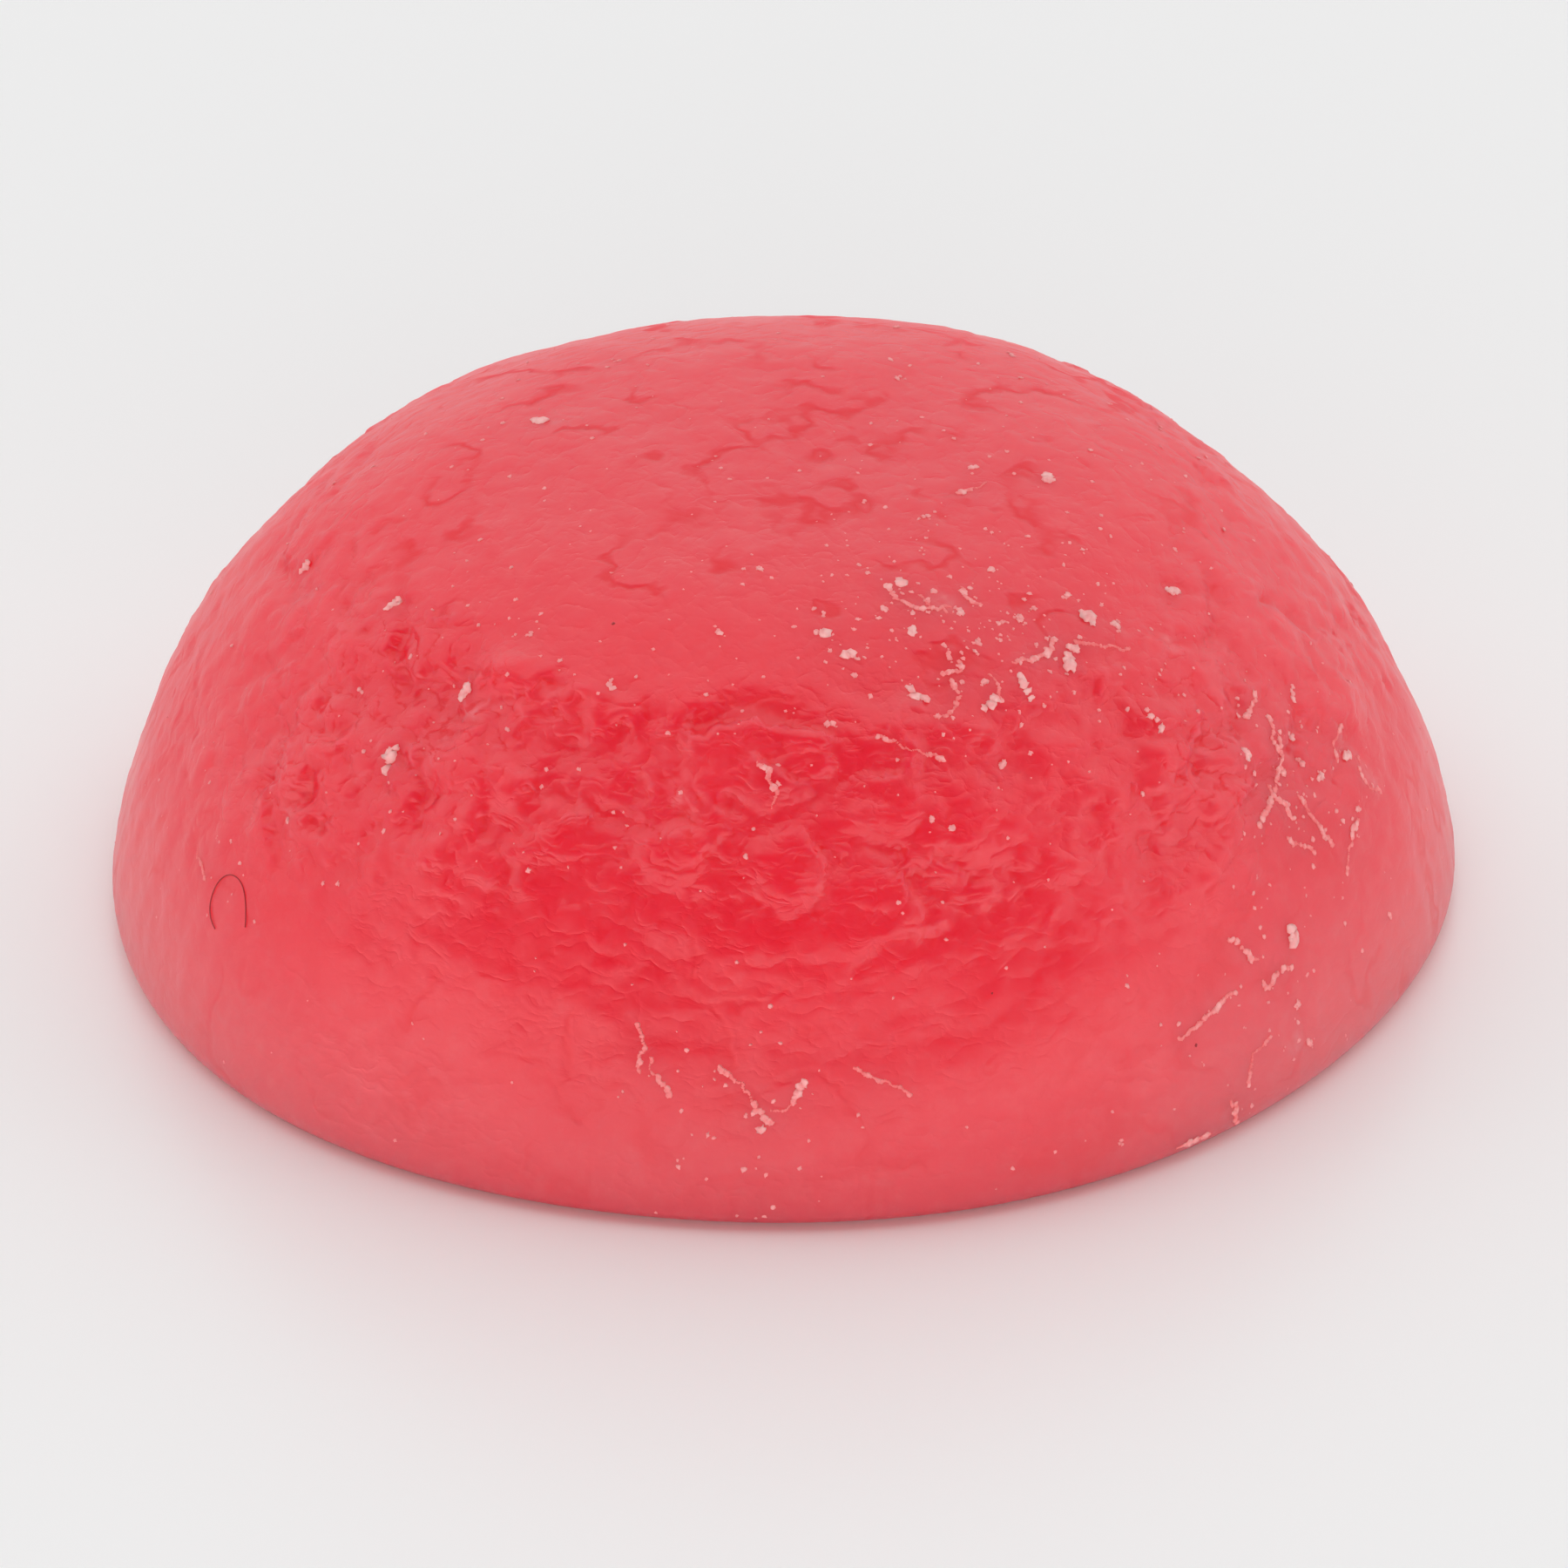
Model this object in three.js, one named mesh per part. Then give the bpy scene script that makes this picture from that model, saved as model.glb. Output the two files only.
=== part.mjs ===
// A dome-shaped gummy candy as it comes out of a starch mould. It is one soft solid: a
// flattened crown, a slanting wall, a softly rounded foot and a flat base to rest on.
// Millimetres, +Z up, with the origin at the middle of the base.
import * as THREE from "three";
import { ImprovedNoise } from "three/addons/math/ImprovedNoise.js";

// Driving dimensions.
const WIDTH = 20; // across the foot, on average
const HEIGHT = 7.7;
const FOOT_ROUNDING = 0.35; // where the wall turns under to the base
const CROWN_POWER = 3.2; // above 2, the crown is flatter than a ball's
const WALL_POWER = 1.4; // below 2, the wall slants inwards on its way up

// How far the outline seen from above strays from a circle: each lobe count has a share of
// the radius and the direction of its first lobe.
const OUTLINE_LOBES = [
  { count: 2, share: 0.02, direction: 0.26 },
  { count: 3, share: 0.008, direction: 0.44 },
  { count: 4, share: 0.0045, direction: 0.71 },
  { count: 5, share: 0.005, direction: 0.06 },
];

// Unevenness of the skin, coarse to fine: the distance between swellings and their depth.
const SWELLINGS = [
  { spacing: 4.2, depth: 0.12 },
  { spacing: 1.9, depth: 0.055 },
  { spacing: 1.0, depth: 0.022 },
];
const SWELLING_START = 2; // height where the swellings have their full depth

// Spacing of the facets.
const SKIN_STEP = 0.42;
const FOOT_STEPS = 3;
const BASE_STEP = 1.3;
const SMALLEST_RING = 6; // vertices
const PROFILE_SAMPLES = 2000; // for measuring along the wall


const RADIUS = WIDTH / 2;
const BASE_RADIUS = RADIUS - FOOT_ROUNDING;

// Half of the candy's cut face, from the middle of the crown to the foot: a superellipse.
class DomeProfile extends THREE.Curve {
  getPoint(t, target = new THREE.Vector2()) {
    const angle = (t * Math.PI) / 2;
    const rise = HEIGHT - FOOT_ROUNDING;
    return target.set(
      RADIUS * Math.sin(angle) ** (2 / CROWN_POWER),
      FOOT_ROUNDING + rise * Math.max(Math.cos(angle), 0) ** (2 / WALL_POWER),
    );
  }
}

// The rounding below the wall, a quarter circle from the widest level down to the base.
const footPath = new THREE.EllipseCurve(
  BASE_RADIUS,
  FOOT_ROUNDING,
  FOOT_ROUNDING,
  FOOT_ROUNDING,
  0,
  -Math.PI / 2,
  true,
);

// Profile points as [distance from the axis, height, facet width], from the crown's middle
// over the wall and the foot to the base's middle.
function profilePoints() {
  const dome = new DomeProfile();
  dome.arcLengthDivisions = PROFILE_SAMPLES;
  const rows = Math.round(dome.getLength() / SKIN_STEP);
  const domePoints = dome.getSpacedPoints(rows);
  const footPoints = footPath.getSpacedPoints(FOOT_STEPS).slice(1);
  const baseRows = Math.round(BASE_RADIUS / BASE_STEP);
  const points = [...domePoints, ...footPoints].map((p) => [p.x, p.y, SKIN_STEP]);
  for (let row = baseRows - 1; row >= 0; row--) {
    points.push([(BASE_RADIUS * row) / baseRows, 0, BASE_STEP]);
  }
  return points;
}

// The outline's radius in a direction, as a share of the round radius.
function outlineShare(direction) {
  return OUTLINE_LOBES.reduce(
    (share, lobe) => share + lobe.share * Math.cos(lobe.count * (direction - lobe.direction)),
    1,
  );
}

const noise = new ImprovedNoise();

// How far the skin stands out at a point. It dies away towards the foot, which stays true.
function swelling(x, y, z) {
  const hold = THREE.MathUtils.smoothstep(z, FOOT_ROUNDING, SWELLING_START);
  return SWELLINGS.reduce(
    (sum, { spacing, depth }) => sum + depth * noise.noise(x / spacing, y / spacing, z / spacing),
    0,
  ) * hold;
}

// One closed ring of vertices round the axis, or a single vertex on the axis.
function addRing(positions, radius, height, width, twist) {
  const around = Math.round((2 * Math.PI * radius) / width);
  const count = around === 0 ? 1 : Math.max(SMALLEST_RING, around);
  const ring = { start: positions.length / 3, count, twist };
  for (let i = 0; i < count; i++) {
    const direction = (2 * Math.PI * (i + twist)) / count;
    const reach = radius * outlineShare(direction);
    const x = reach * Math.cos(direction);
    const y = reach * Math.sin(direction);
    const out = new THREE.Vector3(x / RADIUS ** 2, y / RADIUS ** 2, height / HEIGHT ** 2);
    out.normalize().multiplyScalar(swelling(x, y, height));
    positions.push(x + out.x, y + out.y, height + out.z);
  }
  return ring;
}

// Fills the band between two rings with triangles that face outwards, taking the vertices of
// both rings in the order of their directions.
function stitch(upper, lower, triangles) {
  const at = (ring, i) => ring.start + (i % ring.count);
  const turn = (ring, i) => (ring.count === 1 ? Infinity : (i + ring.twist) / ring.count);
  const steps = (ring) => (ring.count === 1 ? 0 : ring.count);
  let i = 0;
  let j = 0;
  while (i < steps(upper) || j < steps(lower)) {
    const lowerNext =
      j < steps(lower) && (i >= steps(upper) || turn(lower, j + 1) <= turn(upper, i + 1));
    if (lowerNext) {
      triangles.push(at(upper, i), at(lower, j), at(lower, j + 1));
      j++;
    } else {
      triangles.push(at(upper, i), at(lower, j), at(upper, i + 1));
      i++;
    }
  }
}

function candyGeometry() {
  const positions = [];
  const triangles = [];
  const rings = profilePoints().map(([radius, height, width], row) =>
    addRing(positions, radius, height, width, row % 2 ? 0.5 : 0),
  );
  for (let row = 1; row < rings.length; row++) {
    stitch(rings[row - 1], rings[row], triangles);
  }
  const geometry = new THREE.BufferGeometry();
  geometry.setAttribute("position", new THREE.Float32BufferAttribute(positions, 3));
  geometry.setIndex(triangles);
  // The lobes push the outline a little to one side, so it is set back over the origin.
  geometry.computeBoundingBox();
  const middle = geometry.boundingBox.getCenter(new THREE.Vector3());
  geometry.translate(-middle.x, -middle.y, 0);
  geometry.computeVertexNormals();
  return geometry;
}

const candyMaterial = new THREE.MeshStandardMaterial({
  color: 0xe2505c,
  roughness: 0.5,
  metalness: 0,
});

const candy = new THREE.Mesh(candyGeometry(), candyMaterial);
candy.name = "gummy";

const group = new THREE.Group();
group.add(candy);

export default group;
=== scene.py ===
"""A red gummy candy: a low dome with a wrinkled, translucent skin and a dusting of starch.

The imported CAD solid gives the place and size. Its mesh is the cage of a finer skin, which gets
its folds, crests and streaks here, and the starch crumbs, crust, specks and lint lie on it.
Lengths in the tables are millimetres. A place on the candy is given by its bearing round the
axis (0 at the front, which is -Y, and positive towards +X) and its lift above the base, both in
degrees, as seen from the middle of the base.
"""

import math
import random
from collections import namedtuple

import bmesh
import bpy
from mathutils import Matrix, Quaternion, Vector, noise
from mathutils.bvhtree import BVHTree


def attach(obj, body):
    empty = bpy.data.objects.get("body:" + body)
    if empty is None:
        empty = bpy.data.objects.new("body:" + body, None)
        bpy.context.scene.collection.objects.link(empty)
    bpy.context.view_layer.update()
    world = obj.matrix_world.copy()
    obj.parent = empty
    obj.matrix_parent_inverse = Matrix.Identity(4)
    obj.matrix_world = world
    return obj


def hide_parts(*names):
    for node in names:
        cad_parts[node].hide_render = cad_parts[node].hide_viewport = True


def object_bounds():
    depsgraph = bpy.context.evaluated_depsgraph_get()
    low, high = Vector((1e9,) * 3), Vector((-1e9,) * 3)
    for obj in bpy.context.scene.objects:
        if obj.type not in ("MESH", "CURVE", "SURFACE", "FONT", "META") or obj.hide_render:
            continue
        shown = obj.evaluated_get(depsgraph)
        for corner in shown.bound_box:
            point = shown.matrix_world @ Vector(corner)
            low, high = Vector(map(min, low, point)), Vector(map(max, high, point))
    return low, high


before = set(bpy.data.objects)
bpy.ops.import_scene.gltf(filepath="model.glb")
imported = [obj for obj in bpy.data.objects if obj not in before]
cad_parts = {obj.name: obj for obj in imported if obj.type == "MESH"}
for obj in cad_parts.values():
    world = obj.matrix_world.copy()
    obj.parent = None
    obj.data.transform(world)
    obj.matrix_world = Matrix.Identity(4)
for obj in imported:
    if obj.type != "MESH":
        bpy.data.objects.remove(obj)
cad_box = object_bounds()

MM = 0.001
NOISE_SEED = 3  # without a seed, noise_vector comes out different in every run
NOISE_MIDDLE = 0.5  # of noise that runs from 0 to 1
RADIUS = (cad_box[1].x - cad_box[0].x) / 2 / MM

# Camera: how the candy is seen, and how much the picture takes in at the candy.
CAMERA_ELEVATION = 30.5
CAMERA_DISTANCE = 300
PICTURE_WIDTH = 23.65
PICTURE_RISE = 1.61  # middle of the picture above the middle of the base

# Light: a white sweep behind and low in front, a dim room above it, and a soft fill. The limits
# between them are shares of a direction of length 1.
SWEEP_STRENGTH = 1.2
SWEEP_FOOT_STRENGTH = 0.9
SWEEP_RISE = (0.0, 0.6)
FRONT_STRENGTH = 3.9
FRONT_TOP = (-0.2, 0.46)
FRONT_CLIMB = 0.06  # the white front reaches this much higher at the sides
FRONT_TO_SWEEP = (-0.4, 0.0)
ROOM_STRENGTH = 0.04
FILL_WATTS = 1.2
FILL_SIZE = 500
FILL_PLACE = (0, -600, 140)

# Floor.
FLOOR_REACH = 2.0  # in metres
FLOOR_GAP = 0.01
FLOOR_ROUGHNESS = 0.3

# Skin: the cage is refined, then pushed in and out along its normals. The relief grows between
# two heights above the base, which stays flat.
CAGE_MERGE = 0.001
CAGE_LEVELS = 2
RELIEF_START = (0.15, 1.0)
CROWN = (5.0, 7.0)  # the wall turns into the crown between these heights

# Lobes: each rises, tilts and bulges by its own share of its spacing.
LOBE_SHUFFLE = 31.0
LOBE_RISE = 0.25
LOBE_TILT = 0.55
LOBE_BULGE = 0.3

# Folds: each size of lobe, with its spacing, its depth and how much of that it keeps everywhere.
FOLDS = ((1.5, 0.4, 0.08), (0.8, 0.5, 0.1), (0.42, 0.45, 0.15))
FOLD_WARP = 0.45
FOLD_WARP_SPACING = 0.8
FOLD_SQUASH = 1.7

# Where the skin is folded: heights, bearings, and how much behind and more in front.
FOLDS_TOP = (6.95, 6.35)
FOLDS_FOOT = 3.3
FOLDS_FOOT_REACH = 2.1
FLANK_FOOT_DROP = 0.9
FLANK_BEARINGS = (20, 60)
FRONT_BEARINGS = (100, 50)
FOLDS_BEHIND = 0.25
FOLDS_IN_FRONT = 0.6
FOLDS_PATCHY = 0.9
FOLDS_PATCH_SPACING = 2.5

# Crests: thin raised lines that wind over the folds.
CREST_SPACINGS = (1.1, 0.75)
CREST_SHIFT = (5.3, 0.0, 2.9)
CREST_WIDTH = 0.2
CREST_HEIGHT = 0.035
CREST_BREAKS = (0.05, 0.3)
CREST_BREAK_SPACING = 1.1  # in crest spacings

# Brow: the low rim at which the crown ends in front.
BROW_LIFT = 6.38
BROW_WANDER = 0.3
BROW_WANDER_SPACING = 2.2
BROW_HEIGHT = 0.09
BROW_REACH_UP = 0.8
BROW_REACH_DOWN = 0.45
BROW_BEARINGS = (75, 45)

# Grain, as spacing and depth, and streaks down the flanks.
GRAIN = ((0.3, 0.008), (0.17, 0.004))
STREAK_SPACING = 0.45
STREAK_LENGTH = 3.0
STREAK_HEIGHT = 0.02
STREAK_SIDES = (3.0, 7.0)
STREAK_TOP = (6.5, 4.5)

# Wrinkles finer than the folds, in the finish of the skin, and how much of them is left where
# the skin isn't folded: low on the wall, and what is added to that on the crown.
WRINKLE_SPACING = 0.5
WRINKLE_WARP = 0.35
WRINKLE_SQUASH = 2.0
WRINKLE_DEPTH = 0.014
WRINKLE_DETAIL = 4.0
WRINKLE_FINENESS = 0.6
# painted shade darkens the wrinkles deep in their creases, between these values
WRINKLE_SHADE = (1.4, 2.0)
WALL_WRINKLES = 0.2
CROWN_WRINKLES = 0.45

# Wandering creases as thin as a hair, in the finish of the skin, where painted shade darkens the red.
CREASE_SPACING = 2.0
CREASE_DETAIL = 3.0
CREASE_WIDTH = 0.09
CREASE_DEPTH = 0.025
CREASE_BREAKS = (0.45, 0.6)
CREASE_BREAK_SPACING = 1.0
CREASE_BREAK_DETAIL = 1.0
CREASE_SHADE_STRENGTH = 0.7
CREASE_ROUGHNESS = 0.28
WALL_CREASES = 0.3

# Starch film and painted light on the skin: how far a pale pink hides the red. On the crests it is
# starch and a painted highlight, near the foot and on the flanks starch and a painted reflection;
# smears of starch in the starchy regions.
CREST_STARCH_AND_HIGHLIGHT = 0.1
PATCH_FILM = 0.09
PATCH_SPACING = 0.35
PATCH_DETAIL = 6.0
PATCH_FINENESS = 0.65
PATCHES = (0.4, 0.8)
FOOT_STARCH_AND_REFLECTION = 0.16
FOOT_STARCH_AND_REFLECTION_HEIGHTS = (3.4, 0.5)
FOOT_STARCH_AND_REFLECTION_SIDES = (3.0, 9.0)  # it doubles between these distances from the middle
FLANK_STARCH_AND_REFLECTION = 0.1
FLANK_STARCH_AND_REFLECTION_SIDES = (5.5, 9.0)
FLANK_STARCH_AND_REFLECTION_MIDDLE = -1.0  # the left flank has less of it
SMEAR_FILM = 0.5
SMEAR_SPACING = 0.15
SMEAR_EVENNESS = 0.35
SMEAR_REACHES = (0.2, 0.4)
SMEAR_SEED = 4

# Jelly: how light goes through it and off it.
SCATTER_RADIUS = (1.0, 0.12, 0.14)
SCATTER_REACH = 3
JELLY_IOR = 1.5
JELLY_GLOSS = 0.65
JELLY_ROUGHNESS = (0.34, 0.4)
MOTTLING_SPACING = 1.6
MOTTLING_DETAIL = 4.0
MOTTLING = (0.3, 0.7)

# Starch: the regions of the candy where it gathers, given to about five degrees. Each has
# the number of crumbs, crust trails and smears that chance strews over it.
Region = namedtuple("Region", "bearing lift spread big_crumbs small_crumbs trails smears")
STARCH_REGIONS = (
    Region(30, 55, 8, 18, 150, 7, 2),  # crown, right of its middle
    Region(50, 50, 7, 9, 60, 2, 2),  # right shoulder
    Region(65, 25, 6, 9, 80, 10, 2),  # right flank
    Region(50, 10, 7, 4, 50, 8, 1),  # right foot
    Region(0, 50, 10, 3, 50, 2, 1),  # brow
    Region(-5, 10, 5, 1, 40, 5, 0),  # front foot
    Region(-45, 45, 10, 6, 50, 0, 2),  # left shoulder
    Region(-65, 20, 4, 1, 12, 1, 0),  # left flank
    Region(90, 65, 15, 6, 90, 0, 0),  # crown, right and behind
    Region(-110, 60, 14, 2, 30, 0, 0),  # crown, left and behind
)

BIG_CRUMB = (0.1, 0.28)
STRAY_CRUMBS = 320
LOWEST_STRAY = 0.03  # as the sine of its lift
SMALL_CRUMB = (0.03, 0.09)

# Raised rims and flakes of starch crust: short bent trails.
TRAIL_CORNERS = 4
TRAIL_REACHES = (0.08, 0.42)  # from corner to corner
TRAIL_BEND = 0.5
CRUST_WIDTHS = (0.03, 0.1)
TRAIL_STEP = 0.025
TRAIL_WANDERS = ((0.09, 0.35), (0.06, 0.11))  # each with its reach and spacing
TRAIL_WIDTHS = (0.65, 1.6)
TRAIL_GAP = -0.55
TRAIL_GAP_SPACING = 0.2

# Lumps of starch: how flat they lie, how uneven they are, and how a big crumb is made of them, as
# shares of its size.
LOWEST_LUMP = 0.25
LUMP_FINENESS = 2
LUMP_NARROWEST = 0.6
LUMP_KNOBS = 1.8
LUMP_SHUFFLE = 99  # how far apart in the noise two lumps can be
CRUMB_FLATNESS = 0.45
CRUMB_UNEVEN = 0.9
CRUMB_SEED = 5
CRUST_FLATNESS = 0.35
CRUST_UNEVEN = 0.6
CRUST_SEED = 8
CLUMP_COUNT = 5
CLUMP_LENGTH = 0.3
CLUMP_SPREAD = 0.14
CLUMP_SIZES = (0.42, 0.9)

# Starch shows the red where its lumps are small or its cover is patchy.
STARCH_PATCH_SPACING = 0.12
STARCH_PATCHES = (0.3, 0.7)
STARCH_LEAST_COVER = 0.4
STARCH_THIN_SIZES = (0.04, 0.16)
STARCH_THIN_COVER = 0.2
STARCH_ROUGHNESS = 0.6

# Lint and dark specks.
LINT_PLACE = (-60, 15)
LINT_CURL = 4  # degrees from its middle to its outer end
LINT_TIGHTENING = 0.5  # the share of its curl that it has lost at its inner end
LINT_TURN = 270
LINT_POINTS = 7
LINT_RADIUS = 0.009
LINT_ROUNDNESS = 2
LINT_ORDER = 4  # cubic
LINT_RISE = 0.015
LINT_ROUGHNESS = 0.6
SPECKS = ((-30, 55, 0.05), (40, 10, 0.05), (20, 20, 0.04))
SPECK_SEED = 2

# Colours, as linear red, green, blue and alpha.
DEEP_RED = (0.83, 0.009, 0.032, 1)
BRIGHT_RED = (0.84, 0.018, 0.046, 1)
# painted shade in the creases and deep in the wrinkles
CREASE_SHADE_RED = (0.8, 0.004, 0.015, 1)
# the pale pink of starch, and of the painted highlight and painted reflection
STARCH_AND_LIGHT_PINK = (0.86, 0.27, 0.285, 1)
CRUMB_PINK = (0.94, 0.24, 0.25, 1)
CRUMB_CREAM = (0.98, 0.52, 0.5, 1)
CRUST_PINK = (0.9, 0.12, 0.13, 1)
CRUST_CREAM = (0.98, 0.46, 0.445, 1)
LINT_BROWN = (0.35, 0.02, 0.025, 1)
PAPER_WHITE = (0.93, 0.93, 0.93, 1)


def smoothstep(low, high, value):
    """0 below low, 1 above high, and a smooth rise between."""
    share = min(max((value - low) / (high - low), 0), 1)
    return share * share * (3 - 2 * share)


def outward(bearing, lift):
    """The direction from the middle of the base towards a bearing and lift."""
    round_axis, above_base = math.radians(bearing), math.radians(lift)
    return Vector((
        math.sin(round_axis) * math.cos(above_base),
        -math.cos(round_axis) * math.cos(above_base),
        math.sin(above_base),
    ))


def link(obj):
    """Puts a new object in the scene."""
    bpy.context.scene.collection.objects.link(obj)
    return obj


# Skin

def cage_mesh():
    """A copy of the CAD solid's mesh in which neighbouring facets share their vertices."""
    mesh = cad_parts["gummy"].data.copy()
    bm = bmesh.new()
    bm.from_mesh(mesh)
    bmesh.ops.remove_doubles(bm, verts=bm.verts, dist=CAGE_MERGE * MM)
    bm.to_mesh(mesh)
    bm.free()
    mesh.materials.clear()
    return mesh


def refined(obj):
    """The object's mesh after smooth subdivision."""
    subdivision = obj.modifiers.new("refine", "SUBSURF")
    subdivision.levels = CAGE_LEVELS
    graph = bpy.context.evaluated_depsgraph_get()
    mesh = bpy.data.meshes.new_from_object(obj.evaluated_get(graph))
    obj.modifiers.clear()
    return mesh


def lobe_height(place, spacing):
    """Rounded lobes that meet in sharp creases."""
    here = place / spacing
    rises = []
    for centre in noise.voronoi(here)[1]:
        own = noise.cell_vector(centre * LOBE_SHUFFLE) - NOISE_MIDDLE * Vector((1, 1, 1))
        away = here - centre
        rises.append(LOBE_RISE * own.x + LOBE_TILT * own.dot(away) - LOBE_BULGE * away.length_squared)
    return spacing * max(rises)


def warped(place, spacing):
    """The place moved about a little, so that what is laid over it comes out irregular."""
    stretched = Vector((place.x, place.y, place.z * FOLD_SQUASH))
    return stretched + FOLD_WARP * spacing * noise.noise_vector(place / (FOLD_WARP_SPACING * spacing))


def bearing_of(place):
    """How far round the axis from the front a place is, in degrees."""
    return math.degrees(math.atan2(place.x, -place.y))


def fold_height(place, folded):
    """Crumpled folds: lobes of several sizes, wider than they are tall."""
    height = 0
    for spacing, depth, everywhere in FOLDS:
        share = everywhere + (1 - everywhere) * folded
        height += share * depth * lobe_height(warped(place, spacing), spacing)
    return height


def fold_share(place):
    """How strongly the skin is folded: most on the front shoulder, less elsewhere."""
    aside = abs(bearing_of(place))
    foot = FOLDS_FOOT - FLANK_FOOT_DROP * smoothstep(*FLANK_BEARINGS, aside)
    shoulder = smoothstep(*FOLDS_TOP, place.z) * smoothstep(foot, foot + FOLDS_FOOT_REACH, place.z)
    strength = FOLDS_BEHIND + FOLDS_IN_FRONT * smoothstep(*FRONT_BEARINGS, aside)
    patchy = 1 + FOLDS_PATCHY * noise.noise(place / FOLDS_PATCH_SPACING)
    return shoulder * strength * patchy


def brow_height(place):
    """A low brow where the crown ends, so that the front falls away below it."""
    top = BROW_LIFT + BROW_WANDER * noise.noise(place / BROW_WANDER_SPACING)
    facing = smoothstep(*BROW_BEARINGS, abs(bearing_of(place)))
    rise = smoothstep(top + BROW_REACH_UP, top, place.z)
    fall = smoothstep(top - BROW_REACH_DOWN, top, place.z)
    return BROW_HEIGHT * facing * rise * fall


def crest_share(place):
    """Where thin raised crests wind over the folds; they come and go along their length."""
    share = 0
    for index, spacing in enumerate(CREST_SPACINGS):
        shift = index * Vector(CREST_SHIFT)
        line = abs(noise.noise(warped(place, spacing) / spacing + shift))
        broken = smoothstep(*CREST_BREAKS, noise.noise(place / (CREST_BREAK_SPACING * spacing) + shift))
        share = max(share, broken * smoothstep(CREST_WIDTH / spacing, 0, line))
    return share


def starch_and_light_share(place, crest):
    """How thickly pale pink dims the red: starch and a painted highlight on crests, starch and a
    painted reflection near the foot and on the flanks, and starch in smears.
    """
    foot = smoothstep(*FOOT_STARCH_AND_REFLECTION_HEIGHTS, place.z) * (1 + smoothstep(*FOOT_STARCH_AND_REFLECTION_SIDES, abs(place.x)))
    flank = smoothstep(*FLANK_STARCH_AND_REFLECTION_SIDES, abs(place.x - FLANK_STARCH_AND_REFLECTION_MIDDLE))
    starch_and_light = CREST_STARCH_AND_HIGHLIGHT * crest + FOOT_STARCH_AND_REFLECTION * foot + FLANK_STARCH_AND_REFLECTION * flank
    for bearing, lift, reach in smears:
        away = (place - outward(bearing, lift) * place.length).length
        streaky = SMEAR_EVENNESS + noise.noise(place / SMEAR_SPACING)
        starch_and_light += SMEAR_FILM * streaky * smoothstep(reach, 0, away)
    return starch_and_light


def grain_height(place):
    """Fine unevenness of the skin."""
    return sum(depth * noise.noise(place / spacing) for spacing, depth in GRAIN)


def streak_height(place):
    """Drag marks that run down the wall."""
    bearing = math.radians(bearing_of(place))
    unrolled = Vector((bearing * RADIUS / STREAK_SPACING, place.z / STREAK_LENGTH, 0))
    flank = smoothstep(*STREAK_SIDES, abs(place.x)) * smoothstep(*STREAK_TOP, place.z)
    return STREAK_HEIGHT * flank * noise.noise(unrolled)


def skin_height(place):
    """How far the skin stands out of the smooth dome, and the shares that its finish needs there."""
    start = smoothstep(*RELIEF_START, place.z)
    folded = fold_share(place)
    crest = folded * crest_share(place)
    height = fold_height(place, folded) + CREST_HEIGHT * crest
    height += brow_height(place) + grain_height(place) + streak_height(place)
    crown = smoothstep(*CROWN, place.z)
    finish = {
        "starch_and_light": starch_and_light_share(place, crest),
        "wrinkled": folded + (1 - folded) * (WALL_WRINKLES + CROWN_WRINKLES * crown),
        "creased": (1 - folded) * (WALL_CREASES + (1 - WALL_CREASES) * crown),
    }
    return start * height, finish


def make_skin():
    """The candy's skin, which stands for the CAD solid."""
    skin = link(bpy.data.objects.new("gummy_skin", cage_mesh()))
    skin.data = refined(skin)
    mesh = skin.data
    normals = [v.normal.copy() for v in mesh.vertices]
    for name in ("starch_and_light", "wrinkled", "creased"):
        mesh.attributes.new(name, "FLOAT", "POINT")
    for vertex, normal in zip(mesh.vertices, normals):
        height, finish = skin_height(vertex.co / MM)
        for name, value in finish.items():
            mesh.attributes[name].data[vertex.index].value = value
        vertex.co += normal * height * MM
    mesh.shade_smooth()
    return skin


# Starch, lint and specks

def place_on(tree, bearing, lift):
    """The place on the skin at a bearing and lift, in metres."""
    direction = outward(bearing, lift)
    return tree.ray_cast(direction * MM, direction)[0]


def ball():
    """Corners and faces of a ball of radius 1."""
    bm = bmesh.new()
    bmesh.ops.create_icosphere(bm, subdivisions=LUMP_FINENESS, radius=1)
    corners = [vertex.co.copy() for vertex in bm.verts]
    faces = [[vertex.index for vertex in face.verts] for face in bm.faces]
    bm.free()
    return corners, faces


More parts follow.
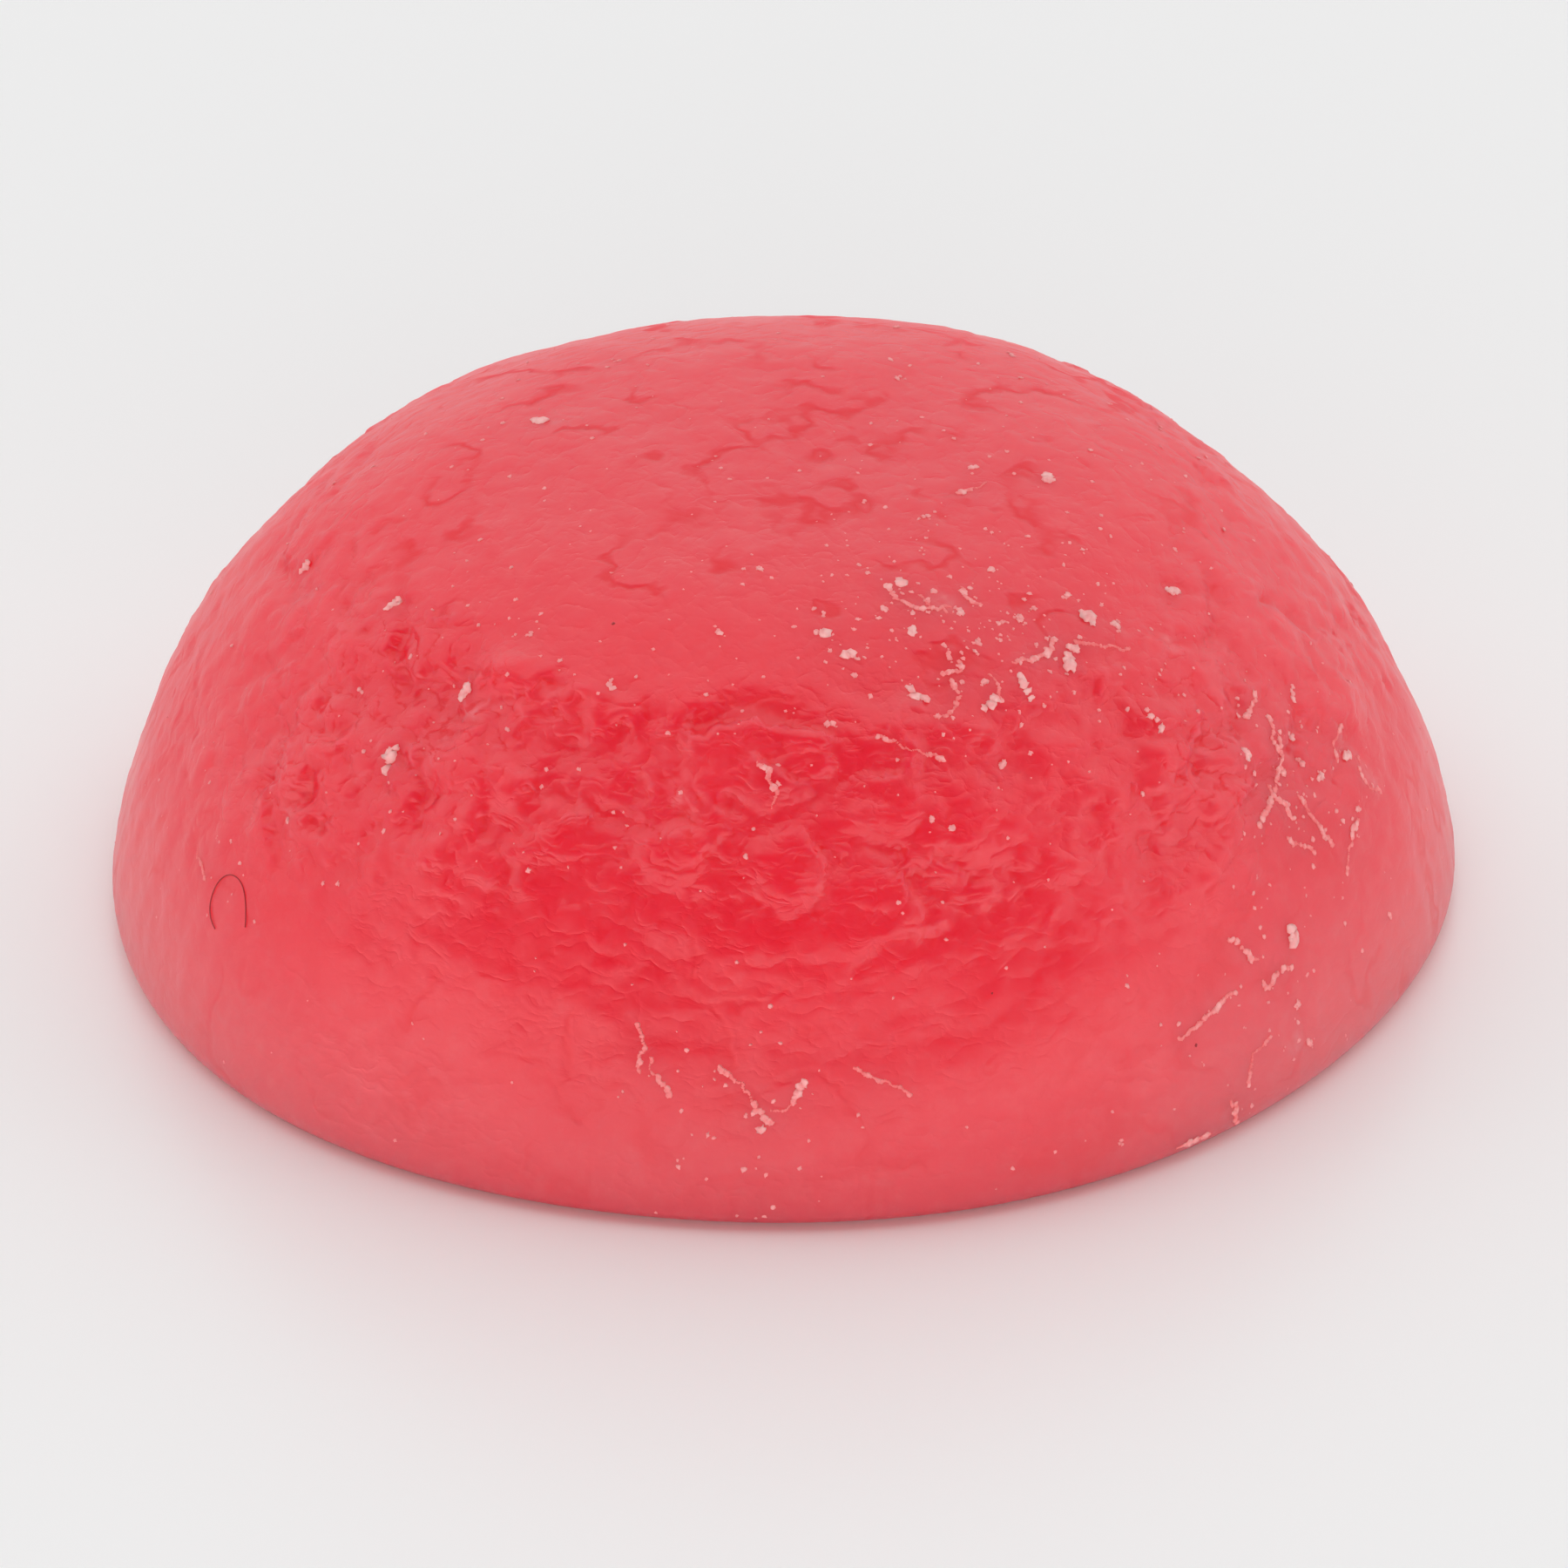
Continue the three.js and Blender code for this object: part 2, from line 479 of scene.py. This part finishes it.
class Lumps:
    """Many uneven lumps that lie on the skin and make one piece."""

    corners, faces = ball()

    def __init__(self, tree, flatness, uneven, seed):
        self.tree = tree
        self.flatness = flatness
        self.uneven = uneven
        self.rng = random.Random(seed)
        self.all_corners = []
        self.all_faces = []
        self.all_sizes = []

    def scattered(self, spread):
        """A chance step in any direction."""
        return Vector([self.rng.gauss(0, spread) for _ in range(3)])

    def chance_place(self, region):
        """A place in a region, more often near its middle."""
        middle = place_on(self.tree, region.bearing, region.lift)
        return middle + self.scattered(math.radians(region.spread) * middle.length)

    def add(self, near, size):
        """One lump on the skin outside a place, clear of the floor."""
        near.z = max(near.z, LOWEST_LUMP * MM)
        direction = near.normalized()
        ground, normal, _, _ = self.tree.ray_cast(direction * MM, direction)
        spin = Quaternion((0, 0, 1), self.rng.uniform(0, math.tau))
        turn = normal.to_track_quat("Z", "Y") @ spin
        shape = Vector((1, self.rng.uniform(LUMP_NARROWEST, 1), self.flatness)) * size / 2 * MM
        shuffle = Vector((self.rng.uniform(0, LUMP_SHUFFLE), self.rng.uniform(0, LUMP_SHUFFLE), 0))
        first = len(self.all_corners)
        for corner in self.corners:
            swell = 1 + self.uneven * noise.noise(corner * LUMP_KNOBS + shuffle)
            self.all_corners.append(ground + turn @ (corner * shape * swell))
        self.all_faces += [[first + index for index in face] for face in self.faces]
        self.all_sizes += [size] * len(self.corners)

    def add_clump(self, near, size):
        """A big crumb: several lumps grown together, farther apart along it than across it."""
        lengthwise = self.scattered(1).normalized() * CLUMP_LENGTH
        for _ in range(CLUMP_COUNT):
            away = lengthwise * self.rng.gauss(0, 1) + self.scattered(CLUMP_SPREAD)
            self.add(near + away * size * MM, size * self.rng.uniform(*CLUMP_SIZES))

    def piece(self, name):
        """The lumps as an object."""
        mesh = bpy.data.meshes.new(name)
        mesh.from_pydata(self.all_corners, [], self.all_faces)
        mesh.attributes.new("size", "FLOAT", "POINT").data.foreach_set("value", self.all_sizes)
        mesh.shade_smooth()
        return link(bpy.data.objects.new(name, mesh))


def make_crumbs(tree):
    """All starch crumbs as one piece."""
    lumps = Lumps(tree, CRUMB_FLATNESS, CRUMB_UNEVEN, CRUMB_SEED)
    rng = lumps.rng
    for region in STARCH_REGIONS:
        for _ in range(region.big_crumbs):
            lumps.add_clump(lumps.chance_place(region), chance_size(rng, BIG_CRUMB))
        for _ in range(region.small_crumbs):
            lumps.add(lumps.chance_place(region), chance_size(rng, SMALL_CRUMB))
    for _ in range(STRAY_CRUMBS):
        bearing = rng.uniform(-180, 180)
        lift = math.degrees(math.asin(rng.uniform(LOWEST_STRAY, 1)))
        lumps.add(place_on(tree, bearing, lift), chance_size(rng, SMALL_CRUMB))
    return lumps.piece("starch_crumbs")


def chance_size(rng, sizes):
    """A size between two others; most are near the small end."""
    least, most = sizes
    return least + (most - least) * rng.random() ** 2


def chance_trail(lumps, region):
    """The corners of a bent trail in a region, each with the trail's width there."""
    here = lumps.chance_place(region)
    heading = lumps.scattered(1)
    corners = []
    for _ in range(TRAIL_CORNERS):
        corners.append((here, lumps.rng.uniform(*CRUST_WIDTHS)))
        heading = heading + lumps.scattered(TRAIL_BEND)
        across = heading - heading.project(here)
        here = here + across.normalized() * lumps.rng.uniform(*TRAIL_REACHES) * MM
    return corners


def along(corners, step):
    """Places a step apart along a trail, with the trail's width at each."""
    for (start, start_width), (end, end_width) in zip(corners, corners[1:]):
        count = max(1, round((end - start).length / (step * MM)))
        for index in range(count):
            share = index / count
            yield start.lerp(end, share), start_width + (end_width - start_width) * share
    yield corners[-1]


def make_crust(tree):
    """Rims and flakes of dried starch as one piece."""
    lumps = Lumps(tree, CRUST_FLATNESS, CRUST_UNEVEN, CRUST_SEED)
    trails = [chance_trail(lumps, region) for region in STARCH_REGIONS for _ in range(region.trails)]
    for trail in trails:
        for near, width in along(trail, TRAIL_STEP):
            here = near / MM
            if noise.noise(here / TRAIL_GAP_SPACING) > TRAIL_GAP:
                for reach, spacing in TRAIL_WANDERS:
                    near = near + reach * noise.noise_vector(here / spacing) * MM
                lumps.add(near, width * lumps.rng.uniform(*TRAIL_WIDTHS))
    return lumps.piece("starch_crust")


def make_specks(tree):
    """Dark specks as one piece."""
    lumps = Lumps(tree, CRUMB_FLATNESS, CRUMB_UNEVEN, SPECK_SEED)
    for bearing, lift, size in SPECKS:
        lumps.add(place_on(tree, bearing, lift), size)
    return lumps.piece("dark_specks")


def make_lint(tree):
    """One curled fibre of lint."""
    curve = bpy.data.curves.new("lint_fibre", "CURVE")
    curve.dimensions = "3D"
    curve.bevel_depth = LINT_RADIUS * MM
    curve.bevel_resolution = LINT_ROUNDNESS
    spline = curve.splines.new("NURBS")
    spline.points.add(LINT_POINTS - 1)
    spline.use_endpoint_u = True
    spline.order_u = LINT_ORDER
    bearing, lift = LINT_PLACE
    for index, point in enumerate(spline.points):
        share = index / (LINT_POINTS - 1)
        turn = math.radians(LINT_TURN) * share
        curl = LINT_CURL * (1 - LINT_TIGHTENING * share)
        place = place_on(tree, bearing + curl * math.cos(turn), lift + curl * math.sin(turn))
        place += place.normalized() * LINT_RISE * MM
        point.co = (*place, 1)
    fibre = bpy.data.objects.new("lint_curve", curve)
    mesh = bpy.data.meshes.new_from_object(fibre)
    bpy.data.objects.remove(fibre)
    return link(bpy.data.objects.new("lint_fibre", mesh))


# Materials

class Nodes:
    """A short way to build a tree of shader nodes."""

    def __init__(self, owner):
        owner.use_nodes = True
        self.tree = owner.node_tree

    def add(self, kind, inputs=(), **settings):
        """A new node; inputs pairs a socket's name or number with a value or another socket."""
        node = self.tree.nodes.new(kind)
        for key, value in settings.items():
            setattr(node, key, value)
        for key, value in dict(inputs).items():
            self.join(value, node.inputs[key])
        return node

    def join(self, value, socket):
        """Links a socket to another, or sets its value."""
        if isinstance(value, bpy.types.NodeSocket):
            self.tree.links.new(value, socket)
        else:
            socket.default_value = value

    def set(self, node, **values):
        """Sets or links the sockets of an existing node; _ stands for a space in their names."""
        for name, value in values.items():
            self.join(value, self.tree.nodes[node].inputs[name.replace("_", " ")])

    def place_mm(self):
        """Where the shaded point is on the candy, in millimetres."""
        coordinates = self.add("ShaderNodeTexCoord")
        return self.add(
            "ShaderNodeVectorMath",
            {0: coordinates.outputs["Object"], 1: (1 / MM,) * 3},
            operation="MULTIPLY",
        ).outputs[0]

    def push(self, place, spacing, reach):
        """The place moved about by up to half a reach, so that what is laid over it wanders."""
        about = self.add("ShaderNodeTexNoise", {"Vector": place, "Scale": 1 / spacing}).outputs["Color"]
        return self.add(
            "ShaderNodeVectorMath", {0: about, 1: (reach,) * 3, 2: place}, operation="MULTIPLY_ADD"
        ).outputs[0]

    def noise(self, place, spacing, detail=2.0, roughness=0.5):
        """Noise from 0 to 1 whose swellings are a spacing apart."""
        return self.add(
            "ShaderNodeTexNoise",
            {"Vector": place, "Scale": 1 / spacing, "Detail": detail, "Roughness": roughness},
        ).outputs[0]

    def ramp(self, value, low, high, to_low=0.0, to_high=1.0):
        """A smooth change from to_low to to_high as value goes from low to high."""
        return self.add(
            "ShaderNodeMapRange",
            {
                "Value": value,
                "From Min": low,
                "From Max": high,
                "To Min": to_low,
                "To Max": to_high,
            },
            interpolation_type="SMOOTHSTEP",
        ).outputs[0]

    def math(self, operation, first, second):
        """Arithmetic on two values."""
        return self.add("ShaderNodeMath", {0: first, 1: second}, operation=operation).outputs[0]

    def mix(self, share, first, second):
        """A colour between two others; 6 and 7 in and 2 out are the node's colour sockets."""
        return self.add(
            "ShaderNodeMix", {0: share, 6: first, 7: second}, data_type="RGBA"
        ).outputs[2]

    def bump(self, height):
        """Fine relief; its height is in metres."""
        return self.add("ShaderNodeBump", {"Height": height, "Distance": 1.0}).outputs[0]


def wrinkles(nodes, place):
    """Fine wrinkles, from 0 on their backs to about 2 in their creases."""
    return nodes.add(
        "ShaderNodeTexNoise",
        {
            "Vector": place,
            "Scale": 1 / WRINKLE_SPACING,
            "Detail": WRINKLE_DETAIL,
            "Roughness": WRINKLE_FINENESS,
            "Offset": 1.0,
        },
        noise_type="RIDGED_MULTIFRACTAL",
        normalize=False,
    ).outputs[0]


def creases(nodes, place):
    """Where thin creases wander over the skin; they come and go along their length."""
    winding = nodes.noise(place, CREASE_SPACING, CREASE_DETAIL)
    away = nodes.math("ABSOLUTE", nodes.math("SUBTRACT", winding, NOISE_MIDDLE), 0)
    line = nodes.ramp(away, 0.0, CREASE_WIDTH / CREASE_SPACING, 1.0, 0.0)
    breaks = nodes.noise(place, CREASE_BREAK_SPACING, CREASE_BREAK_DETAIL)
    broken = nodes.ramp(breaks, *CREASE_BREAKS)
    return nodes.math("MULTIPLY", line, broken)


def share_of(nodes, name):
    """A share that the skin's or a lump's corners carry."""
    return nodes.add("ShaderNodeAttribute", attribute_name=name).outputs["Fac"]


def gummy_material():
    """Translucent red jelly under a thin film of starch and painted light, with fine wrinkles and
    creases darkened by painted shade.
    """
    material = bpy.data.materials.new("gummy")
    nodes = Nodes(material)
    place = nodes.place_mm()
    mottling = nodes.noise(place, MOTTLING_SPACING, MOTTLING_DETAIL)
    # starch patches, and the starch, painted highlight and painted reflection that the skin carries,
    # mix a pale pink into the red
    patchy = nodes.noise(place, PATCH_SPACING, PATCH_DETAIL, PATCH_FINENESS)
    patches = nodes.ramp(patchy, *PATCHES, 0.0, PATCH_FILM)
    starch_and_light = nodes.math("ADD", patches, share_of(nodes, "starch_and_light"))
    red_under_starch_and_light = nodes.mix(starch_and_light, nodes.mix(mottling, DEEP_RED, BRIGHT_RED), STARCH_AND_LIGHT_PINK)

    pushed = nodes.push(place, WRINKLE_SPACING, WRINKLE_WARP)
    squashed = nodes.add(
        "ShaderNodeVectorMath", {0: pushed, 1: (1, 1, WRINKLE_SQUASH)}, operation="MULTIPLY"
    ).outputs[0]
    wrinkle = nodes.math("MULTIPLY", wrinkles(nodes, squashed), share_of(nodes, "wrinkled"))
    crease = nodes.math("MULTIPLY", creases(nodes, pushed), share_of(nodes, "creased"))
    relief = nodes.math(
        "ADD",
        nodes.math("MULTIPLY", wrinkle, -WRINKLE_DEPTH * MM),
        nodes.math("MULTIPLY", crease, -CREASE_DEPTH * MM),
    )
    # painted shade: the red darkens in the creases and deep in the wrinkles, and the roughness rises
    # there
    painted_shade = nodes.math("MAXIMUM", crease, nodes.ramp(wrinkle, *WRINKLE_SHADE))
    roughness = nodes.math(
        "ADD",
        nodes.ramp(mottling, *MOTTLING, *JELLY_ROUGHNESS),
        nodes.math("MULTIPLY", CREASE_ROUGHNESS, painted_shade),
    )
    nodes.set(
        "Principled BSDF",
        Base_Color=nodes.mix(nodes.math("MULTIPLY", CREASE_SHADE_STRENGTH, painted_shade), red_under_starch_and_light, CREASE_SHADE_RED),
        Subsurface_Weight=1.0,
        Subsurface_Radius=SCATTER_RADIUS,
        Subsurface_Scale=SCATTER_REACH * MM,
        Roughness=roughness,
        Specular_IOR_Level=JELLY_GLOSS,
        IOR=JELLY_IOR,
        Normal=nodes.bump(relief),
    )
    return material


def starch_material(name, pink, cream):
    """Dry starch with the candy's red shining through where it is thin."""
    material = bpy.data.materials.new(name)
    nodes = Nodes(material)
    patches = nodes.noise(nodes.place_mm(), STARCH_PATCH_SPACING)
    patchy = nodes.ramp(patches, *STARCH_PATCHES, STARCH_LEAST_COVER)
    thick = nodes.ramp(share_of(nodes, "size"), *STARCH_THIN_SIZES, STARCH_THIN_COVER)
    cover = nodes.math("MULTIPLY", patchy, thick)
    nodes.set("Principled BSDF", Base_Color=nodes.mix(cover, pink, cream), Roughness=STARCH_ROUGHNESS)
    return material


def plain_material(name, colour, roughness):
    """One colour all over."""
    material = bpy.data.materials.new(name)
    Nodes(material).set("Principled BSDF", Base_Color=colour, Roughness=roughness)
    return material


# Stage

def make_floor():
    """A wide plain floor just under the base."""
    bm = bmesh.new()
    bmesh.ops.create_grid(bm, size=FLOOR_REACH)
    mesh = bpy.data.meshes.new("floor")
    bm.to_mesh(mesh)
    bm.free()
    floor = link(bpy.data.objects.new("floor", mesh))
    floor.location.z = -FLOOR_GAP * MM
    floor.data.materials.append(plain_material("floor", PAPER_WHITE, FLOOR_ROUGHNESS))
    return floor


def make_camera():
    """The camera in front of the candy, looking along +Y and down."""
    elevation = math.radians(CAMERA_ELEVATION)
    back = Vector((0, -math.cos(elevation), math.sin(elevation)))
    up = Vector((0, math.sin(elevation), math.cos(elevation)))
    camera = link(bpy.data.objects.new("camera", bpy.data.cameras.new("camera")))
    camera.data.lens = camera.data.sensor_width * CAMERA_DISTANCE / PICTURE_WIDTH
    camera.data.clip_start = CAMERA_DISTANCE / 100 * MM
    camera.location = (up * PICTURE_RISE + back * CAMERA_DISTANCE) * MM
    camera.rotation_euler = (math.pi / 2 - elevation, 0, 0)
    bpy.context.scene.camera = camera


def make_world():
    """Studio light: a white sweep behind and low in front, and a dim room above."""
    world = bpy.data.worlds.new("studio")
    bpy.context.scene.world = world
    nodes = Nodes(world)
    axes = nodes.add(
        "ShaderNodeSeparateXYZ", {0: nodes.add("ShaderNodeTexCoord").outputs["Generated"]}
    )
    aside = nodes.math("ABSOLUTE", axes.outputs["X"], 0)
    height = nodes.math("SUBTRACT", axes.outputs["Z"], nodes.math("MULTIPLY", aside, FRONT_CLIMB))
    front = nodes.ramp(height, *FRONT_TOP, FRONT_STRENGTH, ROOM_STRENGTH)
    sweep = nodes.ramp(axes.outputs["Z"], *SWEEP_RISE, SWEEP_FOOT_STRENGTH, SWEEP_STRENGTH)
    strength = nodes.ramp(axes.outputs["Y"], *FRONT_TO_SWEEP, front, sweep)
    nodes.set("Background", Color=(1, 1, 1, 1), Strength=strength)


def make_fill():
    """A large soft light above the front that brightens the candy without a reflection of its own."""
    light = bpy.data.lights.new("fill", "AREA")
    light.size = FILL_SIZE * MM
    light.energy = FILL_WATTS
    fill = link(bpy.data.objects.new("fill", light))
    fill.location = Vector(FILL_PLACE) * MM
    fill.rotation_euler = fill.location.to_track_quat("Z", "Y").to_euler()
    fill.visible_glossy = False
    fill.visible_camera = False


def finish_piece(piece, material):
    """Gives a piece its material and tells the frame what it rides on."""
    piece.data.materials.append(material)
    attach(piece, "root")


def chance_smears():
    """The smears of starch, each as bearing, lift and reach."""
    rng = random.Random(SMEAR_SEED)
    return [
        (
            rng.gauss(region.bearing, region.spread),
            rng.gauss(region.lift, region.spread),
            rng.uniform(*SMEAR_REACHES),
        )
        for region in STARCH_REGIONS
        for _ in range(region.smears)
    ]


noise.seed_set(NOISE_SEED)
smears = chance_smears()
make_camera()
make_world()
make_fill()
bpy.context.scene.view_settings.view_transform = "Standard"
make_floor()

skin = make_skin()
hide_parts("gummy")
finish_piece(skin, gummy_material())

ground = BVHTree.FromObject(skin, bpy.context.evaluated_depsgraph_get())
lint_brown = plain_material("lint", LINT_BROWN, LINT_ROUGHNESS)
finish_piece(make_crumbs(ground), starch_material("crumbs", CRUMB_PINK, CRUMB_CREAM))
finish_piece(make_crust(ground), starch_material("crust", CRUST_PINK, CRUST_CREAM))
finish_piece(make_specks(ground), lint_brown)
finish_piece(make_lint(ground), lint_brown)
